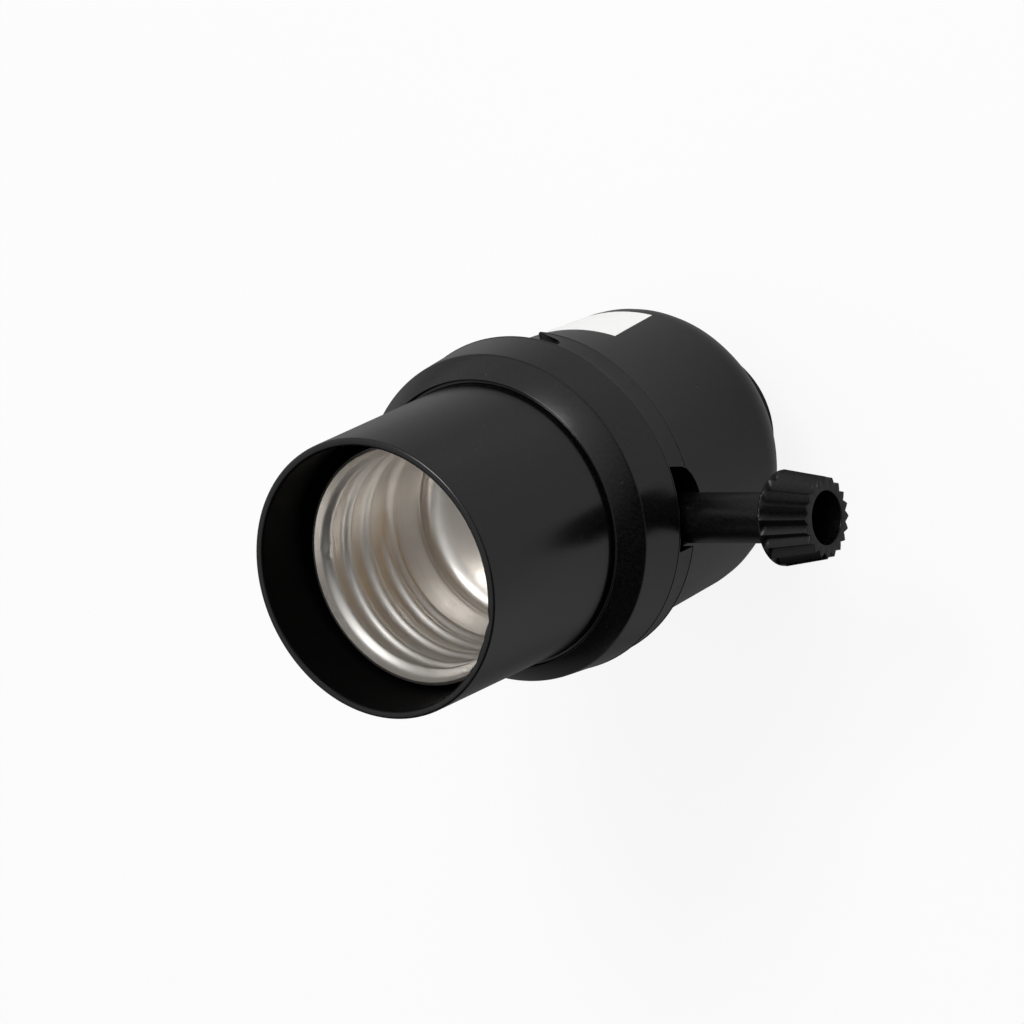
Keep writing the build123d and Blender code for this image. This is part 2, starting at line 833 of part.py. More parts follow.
def label():
    """Plain paper label wrapped on the cap's body."""
    lean = label_width * math.sin(math.radians(label_tilt))
    reach = (label_height + lean) / 2
    low = label_level - reach
    high = label_level + reach
    slope = cap_draft / (step_level - hub_height)
    low_wall = cap_low_radius + (low - hub_height) * slope + fixed_gap
    high_wall = cap_low_radius + (high - hub_height) * slope + fixed_gap
    outline = [
        (low_wall, low),
        (low_wall + label_thickness, low),
        (high_wall + label_thickness, high),
        (high_wall, high),
    ]
    skin = revolve(Plane.XZ * make_face(Polyline(*outline, close=True)), Axis.Z)
    return skin & label_patch()


def main():
    os.makedirs("parts", exist_ok=True)
    pieces = {
        "front_shell": front_shell(),
        "rear_cap": rear_cap(),
        "hub_insert": hub_insert(),
        "set_screw": set_screw(),
        "switch_body": switch_body(),
        "switch_cover": switch_cover(),
        "screw_shell": screw_shell(),
        "shell_rivets": shell_rivets(),
        "contact_insulator": insulator(),
        "center_contact": center_contact(),
        "contact_rivet": contact_rivet(),
        "load_contact": load_contact(),
        "neutral_terminal": neutral_terminal(),
        "neutral_screw": terminal_screw(1),
        "hot_terminal": hot_terminal(),
        "hot_screw": terminal_screw(-1),
        "cover_screws": cover_screws(),
        "switch_shaft": switch_shaft(),
        "rotor": rotor(),
        "contact_bar": contact_bar(),
        "detent_spring": detent_spring(),
        "knob": knob(),
        "label": label(),
    }
    for name, shape in pieces.items():
        export_step(shape, f"parts/{name}.step")


main()
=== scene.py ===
"""Looks of a turn knob lamp socket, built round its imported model.

Metres. +Z runs out of the socket's mouth, the knob points along +X and the label faces +Y.
"""
import math

import bpy
from mathutils import Matrix, Vector


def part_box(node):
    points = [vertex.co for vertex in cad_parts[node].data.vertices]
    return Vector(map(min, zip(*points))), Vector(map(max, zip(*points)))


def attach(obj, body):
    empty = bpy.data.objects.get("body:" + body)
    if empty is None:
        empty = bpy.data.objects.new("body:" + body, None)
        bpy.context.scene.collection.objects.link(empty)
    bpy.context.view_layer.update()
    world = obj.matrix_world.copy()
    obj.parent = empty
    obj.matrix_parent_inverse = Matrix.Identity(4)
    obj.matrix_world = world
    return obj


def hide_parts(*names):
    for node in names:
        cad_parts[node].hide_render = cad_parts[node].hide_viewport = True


bl_info = {
    "name": "Turn Knob Lamp Socket",
    "version": (1, 0, 0),
    "blender": (4, 5, 0),
    "location": "View3D > Sidebar > Lamp Socket",
    "description": "Shapes and finishes a turn knob lamp socket and sets up its studio",
    "category": "Add Mesh",
}

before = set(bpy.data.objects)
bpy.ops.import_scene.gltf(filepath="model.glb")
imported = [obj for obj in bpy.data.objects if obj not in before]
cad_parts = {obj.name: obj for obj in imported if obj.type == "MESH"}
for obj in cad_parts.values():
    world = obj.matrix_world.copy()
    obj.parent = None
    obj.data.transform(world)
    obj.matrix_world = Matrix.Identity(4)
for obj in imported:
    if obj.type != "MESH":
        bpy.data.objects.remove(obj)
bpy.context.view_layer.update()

MM = 0.001
FULL_TURN = 2 * math.pi

shell_low, shell_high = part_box("front_shell")
cup_low, cup_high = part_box("screw_shell")
knob_low, knob_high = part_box("knob")
label_low, label_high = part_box("label")
seam_level = shell_low.z / MM


def length(name, description, millimetres):
    """A size that the user can change, given here in millimetres."""
    return bpy.props.FloatProperty(
        name=name,
        description=description,
        default=millimetres * MM,
        unit="LENGTH",
        precision=5,
    )


def turning(name, description, degrees):
    """An angle that the user can change, given here in degrees."""
    return bpy.props.FloatProperty(
        name=name, description=description, default=math.radians(degrees), unit="ROTATION"
    )


def colour(name, description, value):
    """A colour that the user can change."""
    return bpy.props.FloatVectorProperty(
        name=name, description=description, subtype="COLOR", min=0, max=1, default=value
    )


class SocketShellSizes(bpy.types.PropertyGroup):
    """Sizes of the black front shell."""

    bore_radius: length("Bore radius", "Inner radius of the barrel", 15.2)
    rim_radius: length("Rim radius", "Outer radius of the barrel at its mouth", 16.15)
    foot_radius: length("Foot radius", "Outer radius of the barrel at its foot", 16.45)
    crest_radius: length("Crest radius", "Radius of the ring round the barrel's foot", 16.9)
    shoulder_radius: length("Shoulder radius", "Radius where the sloping face ends", 19.3)
    wall: length("Wall", "Wall of the flange", 2.2)


class SocketCupSizes(bpy.types.PropertyGroup):
    """Sizes of the rolled metal cup that takes the bulb."""

    sheet: length("Sheet", "Thickness of the metal", 0.4)
    pitch: length("Pitch", "Rise of the thread in one turn", 3.629)
    crest_radius: length("Crest radius", "Inner radius at the thread's crests", 12.45)
    root_radius: length("Root radius", "Inner radius between the crests", 13.1)
    hole_radius: length("Hole radius", "Radius of the hole in the bottom", 6.5)


class SocketKnobSizes(bpy.types.PropertyGroup):
    """Sizes of the knob's head and stem."""

    ribs: bpy.props.IntProperty(name="Ribs", description="Ribs round the head", default=20, min=6)
    rib_depth: bpy.props.FloatProperty(
        name="Rib depth", description="Depth of the grooves as a share of the radius", default=0.14
    )
    head_length: length("Head length", "Length of the ribbed head", 6.0)
    back_radius: length("Back radius", "Radius of the head where it meets the stem", 5.54)
    front_radius: length("Front radius", "Radius over the ribs at the front", 4.63)
    stem_radius: length("Stem radius", "Radius of the round stem", 2.9)
    hole_radius: length("Hole radius", "Radius of the hole in the front", 3.06)


class SocketLabelSizes(bpy.types.PropertyGroup):
    """Size and place of the plain label."""

    width: length("Width", "Width of the paper", 16.4)
    height: length("Height", "Height of the paper", 10.0)
    azimuth: turning("Azimuth", "Middle of the label round the cap", 100)
    tilt: turning("Tilt", "How far the label is turned", 7.5)


class SocketColours(bpy.types.PropertyGroup):
    """Colours of the finishes."""

    plastic: colour("Plastic", "Black moulded plastic", (0.0012, 0.0012, 0.0013))
    cup_metal: colour("Cup metal", "Nickel-plated sheet", (0.84, 0.81, 0.77))
    brass: colour("Brass", "Plain brass", (0.72, 0.52, 0.25))
    steel: colour("Steel", "Zinc-plated steel", (0.56, 0.57, 0.58))
    paper: colour("Paper", "Label paper", (0.86, 0.86, 0.85))


class Wire:
    """A node's output. Arithmetic on it adds Math nodes."""

    def __init__(self, nodes, output):
        self.nodes = nodes
        self.output = output

    def maths(self, operation, *values, clamp=False):
        settings = {"operation": operation, "use_clamp": clamp}
        return self.nodes.add("ShaderNodeMath", settings, dict(enumerate(values)))

    def __add__(self, other):
        return self.maths("ADD", self, other)

    def __radd__(self, other):
        return self.maths("ADD", other, self)

    def __sub__(self, other):
        return self.maths("SUBTRACT", self, other)

    def __rsub__(self, other):
        return self.maths("SUBTRACT", other, self)

    def __mul__(self, other):
        return self.maths("MULTIPLY", self, other)

    def __rmul__(self, other):
        return self.maths("MULTIPLY", other, self)

    def above(self, edge, soft):
        """0 below an edge, 1 past it, with a straight ramp of the given width between."""
        return self.maths("DIVIDE", self - edge, soft, clamp=True)


class Nodes:
    """A node tree under construction."""

    def __init__(self, tree):
        self.tree = tree
        tree.nodes.clear()

    def add(self, kind, settings=None, values=None, output=0):
        """One node: its settings first, then what its sockets get, and the wire that it gives."""
        node = self.tree.nodes.new(kind)
        for name, setting in (settings or {}).items():
            setattr(node, name, setting)
        for name, value in (values or {}).items():
            socket = node.inputs[name]
            if isinstance(value, Wire):
                self.tree.links.new(value.output, socket)
            elif socket.type == "RGBA":
                socket.default_value = (*value, 1.0)
            else:
                socket.default_value = value
        return Wire(self, node.outputs[output]) if node.outputs else node

    def mix(self, share, first, second):
        """Colour between two colours."""
        values = {0: share, 6: first, 7: second}
        return self.add("ShaderNodeMix", {"data_type": "RGBA"}, values, output=2)

    def noise(self, scale, detail=2.0, roughness=0.5, place=None):
        """Noise on Object coordinates, or on stretched ones. The scale is per metre."""
        values = {
            "Vector": place or self.place,
            "Scale": scale,
            "Detail": detail,
            "Roughness": roughness,
        }
        return self.add("ShaderNodeTexNoise", values=values)

    def stretched(self, scale):
        """Object coordinates scaled along each axis, for drawn or brushed marks."""
        return self.add("ShaderNodeMapping", values={"Vector": self.place, "Scale": scale})

    def bump(self, height, strength, distance, normal=None):
        """Surface relief, laid over an earlier one where that is given."""
        values = {"Height": height, "Strength": strength, "Distance": distance}
        if normal:
            values["Normal"] = normal
        return self.add("ShaderNodeBump", values=values)


class Finish(Nodes):
    """A material of the socket."""

    def __init__(self, name):
        self.material = bpy.data.materials.new(name)
        self.material.use_nodes = True
        super().__init__(self.material.node_tree)
        self.place = self.add("ShaderNodeTexCoord", output="Object")

    def along(self, axis):
        """Place along an axis in metres: 0 is X, 1 is Y, and 2 is Z, up from the hub's face."""
        return self.add("ShaderNodeSeparateXYZ", values={0: self.place}, output=axis)

    def shader(self, base, roughness, normal, **numbers):
        """A shader. The other numbers go to the sockets that they are named for."""
        values = {"Base Color": base, "Roughness": roughness, "Normal": normal}
        values.update({name.replace("_", " "): number for name, number in numbers.items()})
        return self.add("ShaderNodeBsdfPrincipled", values=values)

    def end(self, shader):
        """Ends the material with a shader that is already made."""
        self.add("ShaderNodeOutputMaterial", values={"Surface": shader})
        return self.material

    def surface(self, base, roughness, normal, **numbers):
        """Makes a shader and ends the material with it."""
        return self.end(self.shader(base, roughness, normal, **numbers))


def shade(value, factor):
    """A colour made darker or lighter by a factor."""
    return tuple(part * factor for part in value)


# Painted shade inside the barrel's bore: how far out it reaches, the height it starts at, and the
# low shine of its darker copy of the plastic
BORE_REACH = 15.5 * MM
BORE_LEVEL = 42.5 * MM
BORE_SHADE_SHINE = 0.06
DUST = (0.07, 0.07, 0.07)
TARNISH = (0.62, 0.59, 0.56)


def moulded_plastic(name, black, gloss, grain, mottle, shine):
    """Black thermoplastic: moulded grain, uneven gloss, specks of dust, and painted shade in the
    barrel bore, where the plastic is half as light, matt and with little shine.
    """
    finish = Finish(name)
    clouds = finish.noise(70, 3)
    texture = finish.noise(3200, 3, 0.6)
    speck = finish.noise(2100, 1, 0.3).above(0.80, 0.03)
    base = finish.mix(texture.above(0.4, 0.2), black, shade(black, 4))
    base = finish.mix(speck * 0.35, base, DUST)
    flat = finish.stretched((1.0, 1.0, 0.0))
    reach = finish.add("ShaderNodeVectorMath", {"operation": "LENGTH"}, {0: flat}, "Value")
    # Mask of the painted shade: inside the bore's reach and above its starting height
    within = (BORE_REACH - reach).above(0, 0.2 * MM)
    bore = within * finish.along(2).above(BORE_LEVEL, 0.5 * MM)
    roughness = gloss + mottle * clouds + 0.05 * texture + 0.15 * speck
    normal = finish.bump(texture, grain, 0.04 * MM)
    normal = finish.bump(clouds, 0.05, 0.6 * MM, normal)
    outside = finish.shader(base, roughness, normal, Specular_IOR_Level=shine)
    # Painted shade: a darker, matt copy of the plastic with little shine, for the inside of the
    # bore
    matt = 0.5 + 0.1 * texture
    inside = finish.shader(shade(black, 0.5), matt, normal, Specular_IOR_Level=BORE_SHADE_SHINE)
    return finish.end(finish.add("ShaderNodeMixShader", values={0: bore, 1: outside, 2: inside}))


def plated_sheet(metal):
    """Nickel-plated drawn sheet: satin, with rings from drawing and patches of warm tarnish."""
    finish = Finish("nickel_plated_sheet")
    patches = finish.noise(150, 3)
    peel = finish.noise(1300, 2)
    drawn = finish.noise(1500, 3, place=finish.stretched((0.08, 0.08, 1.0)))
    base = finish.mix(patches.above(0.4, 0.3), metal, shade(metal, 0.9))
    base = finish.mix(drawn.above(0.52, 0.25) * 0.35, base, TARNISH)
    roughness = 0.3 + 0.1 * patches + 0.06 * peel
    normal = finish.bump(drawn, 0.16, 0.05 * MM)
    normal = finish.bump(peel, 0.14, 0.04 * MM, normal)
    return finish.surface(base, roughness, normal, Metallic=1.0)


def turned_metal(name, metal, gloss):
    """Machined or stamped metal with fine scratches."""
    finish = Finish(name)
    scratches = finish.noise(1200, 3, place=finish.stretched((0.15, 1.0, 1.0)))
    stains = finish.noise(300, 2)
    base = finish.mix(stains.above(0.45, 0.2), metal, shade(metal, 0.75))
    roughness = gloss + 0.15 * scratches + 0.1 * stains
    normal = finish.bump(scratches, 0.06, 0.03 * MM)
    return finish.surface(base, roughness, normal, Metallic=1.0)


def pressed_phenolic():
    """Matt black-brown phenolic with a coarse filler."""
    finish = Finish("phenolic")
    filler = finish.noise(1600, 4, 0.7)
    base = finish.mix(filler.above(0.5, 0.2), (0.012, 0.010, 0.009), (0.028, 0.022, 0.018))
    return finish.surface(base, 0.55 + 0.2 * filler, finish.bump(filler, 0.3, 0.05 * MM))


def vulcanised_fibre():
    """Red-brown fibre board."""
    finish = Finish("fibre")
    strands = finish.noise(900, 4, 0.7)
    base = finish.mix(strands, (0.11, 0.05, 0.035), (0.2, 0.1, 0.07))
    return finish.surface(base, 0.7 + 0.1 * strands, finish.bump(strands, 0.3, 0.05 * MM))


def label_paper(white):
    """Matt white paper with a faint tooth."""
    finish = Finish("label_paper")
    tooth = finish.noise(3000, 4, 0.7)
    base = finish.mix(tooth.above(0.4, 0.4), white, shade(white, 0.95))
    return finish.surface(base, 0.55 + 0.1 * tooth, finish.bump(tooth, 0.2, 0.02 * MM))


def dress(nodes, material):
    """Gives CAD nodes a material."""
    for node in nodes:
        paint(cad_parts[node], material)


def paint(piece, material):
    """Gives a piece its material."""
    piece.data.materials.clear()
    piece.data.materials.append(material)


def place(piece, body, slot, material, *nodes):
    """Gives a finished piece its finish and its body, and hides the nodes that it stands for. The
    slot is not used.
    """
    paint(piece, bpy.data.materials[material])
    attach(piece, body)
    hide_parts(*nodes)


def rounded(corners, steps=6):
    """Closed outline of (radius, height, rounding) corners, with an arc for each rounding."""
    outline = []
    spots = [Vector(corner[:2]) for corner in corners]
    for index, corner in enumerate(spots):
        radius = corners[index][2]
        if not radius:
            outline.append(corner)
            continue
        before = (spots[index - 1] - corner).normalized()
        after = (spots[(index + 1) % len(spots)] - corner).normalized()
        half = before.angle(after) / 2
        centre = corner + (before + after).normalized() * radius / math.sin(half)
        start = corner + before * radius / math.tan(half) - centre
        end = corner + after * radius / math.tan(half) - centre
        outline += [centre + start.slerp(end, step / steps) * radius for step in range(steps + 1)]
    return outline


def start_piece(name, spot):
    """New piece that is a single selected vertex, in edit mode."""
    bpy.ops.object.select_all(action="DESELECT")
    bpy.ops.mesh.primitive_plane_add(size=MM)
    piece = bpy.context.object
    piece.name = name
    bpy.ops.object.mode_set(mode="EDIT")
    bpy.ops.mesh.select_all(action="SELECT")
    bpy.ops.mesh.merge(type="CENTER")
    bpy.ops.transform.translate(value=spot)
    return piece


def turned(name, outline, steps, axis="Z", sweep=FULL_TURN):
    """Piece spun round an axis from an outline of (radius, height) points, given in millimetres."""
    across, along = {"Z": ((1, 0, 0), (0, 0, 1)), "X": ((0, 1, 0), (1, 0, 0))}[axis]
    spots = [(Vector(across) * radius + Vector(along) * height) * MM for radius, height in outline]
    piece = start_piece(name, spots[0])
    for before, after in zip(spots, spots[1:]):
        bpy.ops.mesh.extrude_vertices_move(TRANSFORM_OT_translate={"value": after - before})
    bpy.ops.mesh.select_all(action="SELECT")
    bpy.ops.mesh.spin(steps=steps, angle=sweep, center=(0, 0, 0), axis=along)
    bpy.ops.mesh.select_all(action="SELECT")
    bpy.ops.mesh.remove_doubles(threshold=0.002 * MM)
    if sweep < FULL_TURN:
        bpy.ops.mesh.fill_holes(sides=0)
    bpy.ops.mesh.normals_make_consistent(inside=False)
    bpy.ops.object.mode_set(mode="OBJECT")
    return piece


def reshape(piece, move):
    """Moves every vertex of a piece by a rule."""
    for vertex in piece.data.vertices:
        vertex.co = move(vertex.co)


def apply(piece, kind, **settings):
    """Adds a modifier to a piece and applies it."""
    bpy.context.view_layer.objects.active = piece
    modifier = piece.modifiers.new(kind.lower(), kind)
    for name, setting in settings.items():
        setattr(modifier, name, setting)
    bpy.ops.object.modifier_apply(modifier=modifier.name)


def smooth(piece, degrees=30):
    """Shades a piece smooth, with edges kept where it bends by more than an angle."""
    bpy.ops.object.select_all(action="DESELECT")
    piece.select_set(True)
    bpy.context.view_layer.objects.active = piece
    bpy.ops.object.shade_smooth_by_angle(angle=math.radians(degrees))


def carve(piece, cutter):
    """Cuts one piece out of another, and takes the cutter away."""
    apply(piece, "BOOLEAN", object=cutter, operation="DIFFERENCE", solver="EXACT")
    bpy.data.objects.remove(cutter)


def prism(spots, along):
    """Solid pushed out of a flat outline. Spots and direction are in millimetres."""
    spots = [Vector(spot) * MM for spot in spots]
    solid = start_piece("cutter", spots[0])
    for before, after in zip(spots, spots[1:]):
        bpy.ops.mesh.extrude_vertices_move(TRANSFORM_OT_translate={"value": after - before})
    bpy.ops.mesh.select_all(action="SELECT")
    bpy.ops.mesh.edge_face_add()
    bpy.ops.mesh.extrude_region_move(TRANSFORM_OT_translate={"value": Vector(along) * MM})
    bpy.ops.mesh.select_all(action="SELECT")
    bpy.ops.mesh.normals_make_consistent(inside=False)
    bpy.ops.object.mode_set(mode="OBJECT")
    return solid


def join(piece, others):
    """Makes several pieces one."""
    bpy.ops.object.select_all(action="DESELECT")
    for other in (*others, piece):
        other.select_set(True)
    bpy.context.view_layer.objects.active = piece
    bpy.ops.object.join()


def ease(value, low, high):
    """0 below low, 1 above high, and a smooth S between."""
    share = min(max((value - low) / (high - low), 0), 1)
    return share * share * (3 - 2 * share)


class SOCKET_OT_finishes(bpy.types.Operator):
    """Make the finishes and give them to the pieces that stay as they are"""

    bl_idname = "socket.finishes"
    bl_label = "Finishes"

    def execute(self, context):
        colours = context.scene.socket_colours
        black = tuple(colours.plastic)
        moulded_plastic("shell_plastic", black, gloss=0.13, grain=0.1, mottle=0.12, shine=0.42)
        # Painted shade: the knob's plastic is a copy of the black made darker by 0.8
        knob_shaded_black = shade(black, 0.8)
        moulded_plastic("knob_plastic", knob_shaded_black, gloss=0.14, grain=0.2, mottle=0.3, shine=0.26)
        cup_metal = plated_sheet(tuple(colours.cup_metal))
        brass = turned_metal("brass", tuple(colours.brass), 0.25)
        steel = turned_metal("steel", tuple(colours.steel), 0.3)
        spring = turned_metal("spring_steel", shade(tuple(colours.steel), 0.7), 0.25)
        label_paper(tuple(colours.paper))
        dress(["neutral_terminal"], cup_metal)
        dress(["switch_body", "switch_cover", "rotor"], pressed_phenolic())
        dress(["contact_insulator"], vulcanised_fibre())
        dress(["center_contact", "contact_rivet", "load_contact", "contact_bar"], brass)
        dress(["hot_terminal", "hot_screw", "shell_rivets", "switch_shaft"], brass)
        dress(["neutral_screw", "cover_screws", "set_screw", "hub_insert"], steel)
        dress(["detent_spring"], spring)
        return {"FINISHED"}


class SOCKET_OT_shell(bpy.types.Operator):
    """Turn the black front shell: barrel, groove, sloping face and flange"""

    bl_idname = "socket.shell"
    bl_label = "Front shell"

    steps = 160
    groove_level = 44.8
    crest_level = 45.6
    shoulder_level = 42.75
    roof_level = 41.8
    seam_chamfer = 0.12
    burr = 0.07
    burr_level = 0.25
    # Recesses that catch the cap's snap tongues, as (y, z) corners, and half their width
    recess = [(15.0, 38.75), (18.35, 38.75), (18.35, 41.15), (15.0, 41.15)]
    recess_half = 4.25
    # Dents in the rim: how far down and out they reach, their middle and spread in degrees
    dent_reach = 0.35
    dent_radius = 15.6
    dent_middle = -45
    dent_spread = 32
    # Two waves of (depth, radians per degree of azimuth, phase) that place the dents
    dent_waves = ((0.09, 0.63, 0), (0.08, 0.29, 1))
    dent_drop = 0.8

    def execute(self, context):
        sizes = context.scene.socket_shell
        rim = shell_high.z / MM
        flange = shell_high.x / MM
        bore = sizes.bore_radius / MM
        crest = sizes.crest_radius / MM
        pocket = flange - sizes.wall / MM
        corners = [
            (bore, rim, 0.3),
            (sizes.rim_radius / MM, rim, 0.3),
            (sizes.foot_radius / MM, self.groove_level, 0.15),
            (crest, self.groove_level, 0.1),
            (crest, self.crest_level, 0.12),
            (sizes.shoulder_radius / MM, self.shoulder_level, 0.7),
            (flange - self.burr, seam_level + self.burr_level + self.burr, 0.02),
            (flange, seam_level + self.burr_level, 0.02),
            (flange - 0.02, seam_level + self.seam_chamfer, 0.05),
            (flange - self.seam_chamfer, seam_level, 0.08),
            (pocket, seam_level, 0.1),
            (pocket, self.roof_level, 0.3),
            (bore, self.roof_level, 0.1),
        ]
        outline = rounded(corners)
        piece = turned("front_shell_finished", outline + outline[:1], self.steps)
        reshape(piece, self.nick)
        for side in (-1, 1):
            spots = [(-self.recess_half, y * side, z) for y, z in self.recess]
            carve(piece, prism(spots, (2 * self.recess_half, 0, 0)))
        smooth(piece)
        place(piece, "socket", "black_plastic", "shell_plastic", "front_shell")
        return {"FINISHED"}

    def nick(self, spot):
        """Small dents along a stretch of the rim's inner edge, left from trimming."""
        azimuth = math.degrees(math.atan2(spot.y, spot.x))
        radius = math.hypot(spot.x, spot.y) / MM
        if shell_high.z - spot.z > self.dent_reach * MM or radius > self.dent_radius:
            return spot
        if abs(azimuth - self.dent_middle) > self.dent_spread:
            return spot
        waves = [high * math.sin(azimuth * rate + phase) for high, rate, phase in self.dent_waves]
        depth = max(sum(waves), 0)
        share = 1 + depth / radius
        drop = self.dent_drop * depth * MM
        return Vector((spot.x * share, spot.y * share, spot.z - drop))


class SOCKET_OT_cap(bpy.types.Operator):
    """Turn the black rear cap, with its domed end, band, notch, pry slots and snap tongues"""

    bl_idname = "socket.cap"
    bl_label = "Rear cap"

    steps = 168
    insert_radius = 6.2
    hub_radius = 9.85
    dome_level = 6.6
    dome_radius = 7.2
    foot_radius = 17.2
    top_radius = 18.05
    step_level = 32.9
    band_radius = 19.65
    bore_radius = 16.4
    floor_level = 8.6
    wall = 1.65
    burr = 0.07
    set_screw_level = 3.3
    set_screw_radius = 1.77
    set_screw_middle = -8.5
    set_screw_depth = 8
    # Notch for the knob's stem, as (y, z) corners, and how far it is cut along X
    notch = [
        (4.3, 37.2), (4.24, 35.9), (3.86, 34.4), (3.5, 33.0), (3.22, 31.8), (2.75, 30.85),
        (1.9, 30.1), (0.7, 29.5), (-0.6, 29.1), (-2.0, 28.95), (-3.4, 29.1), (-4.6, 29.7),
        (-5.45, 30.6), (-5.85, 31.8), (-5.85, 34.0), (-5.75, 37.2),
    ]
    notch_start = 12.0
    notch_length = 9.0
    # Pry slot in the band with a ramp at one end, and the deeper pocket in it, as (x, z) corners
    slot = [
        (6.2, 37.0), (6.15, 35.5), (5.9, 34.9), (5.3, 34.5), (4.4, 34.2), (3.4, 33.8),
        (2.6, 33.35), (1.9, 32.95), (1.5, 32.85), (-5.0, 32.85), (-5.7, 33.2), (-6.1, 34.2),
        (-6.2, 37.0),
    ]
    slot_depth = 1.3
    pocket = [
        (5.8, 37.0), (5.8, 35.3), (5.2, 34.9), (3.8, 34.6), (-5.2, 34.6), (-5.8, 35.0),
        (-5.8, 37.0),
    ]
    pocket_depth = 2.6
    slot_cut = 4.0
    # Snap tongue with its catch, as (radius, z) corners, and how far it reaches round the cap
    tongue = [(16.5, 35.4), (17.5, 35.4), (17.5, 39.0), (18.1, 39.3), (17.5, 40.9), (16.5, 40.9)]
    tongue_angle = 26.5
    tongue_steps = 16

    def execute(self, context):
        band = self.band_radius
        corners = [
            (self.insert_radius, 0.0, 0.1),
            (self.hub_radius, 0.0, 0.3),
            (self.hub_radius, self.dome_level, 0.15),
            (self.foot_radius, self.dome_level, self.dome_radius),
            (self.top_radius, self.step_level, 0.2),
            (band - 0.2, self.step_level, 0.05),
            (band - 0.02, self.step_level + 0.15, 0.05),
            (band, self.step_level + 0.3, 0.02),
            (band - self.burr, self.step_level + 0.3 + self.burr, 0.02),
            (band - 0.03, seam_level - 0.15, 0.08),
            (band - 0.15, seam_level, 0.08),
            (self.bore_radius, seam_level, 0.15),
            (self.bore_radius, self.step_level, 0.2),
            (self.foot_radius - self.wall, self.floor_level, self.dome_radius - self.wall),
            (self.insert_radius, self.floor_level, 0.1),
        ]
        outline = rounded(corners, 10)
        piece = turned("rear_cap_finished", outline + outline[:1], self.steps)
        spots = [(self.notch_start, y, z) for y, z in self.notch]
        carve(piece, prism(spots, (self.notch_length, 0, 0)))
        for side in (-1, 1):
            for cut, depth in ((self.slot, self.slot_depth), (self.pocket, self.pocket_depth)):
                spots = [(x, (band - depth) * side, z) for x, z in cut]
                carve(piece, prism(spots, (0, self.slot_cut * side, 0)))
        carve(piece, self.set_screw_hole())
        join(piece, [self.snap_tongue(middle) for middle in (90, -90)])
        smooth(piece)
        place(piece, "socket", "black_plastic", "shell_plastic", "rear_cap")
        return {"FINISHED"}

    def set_screw_hole(self):
        """Cutter for the set screw's hole in the hub."""
        bpy.ops.object.select_all(action="DESELECT")
        bpy.ops.mesh.primitive_cylinder_add(
            vertices=48,
            radius=self.set_screw_radius * MM,
            depth=self.set_screw_depth * MM,
            location=(self.set_screw_middle * MM, 0, self.set_screw_level * MM),
            rotation=(0, math.pi / 2, 0),
        )
        return bpy.context.object

    def snap_tongue(self, middle):
        """Curved tongue with its middle at an azimuth in degrees."""
        outline = [Vector(point) for point in self.tongue]
        sweep = math.radians(self.tongue_angle)
        tongue = turned("tongue", outline + outline[:1], self.tongue_steps, sweep=sweep)
        turn = Matrix.Rotation(math.radians(middle - self.tongue_angle / 2), 3, "Z")
        reshape(tongue, lambda spot: turn @ spot)
        return tongue


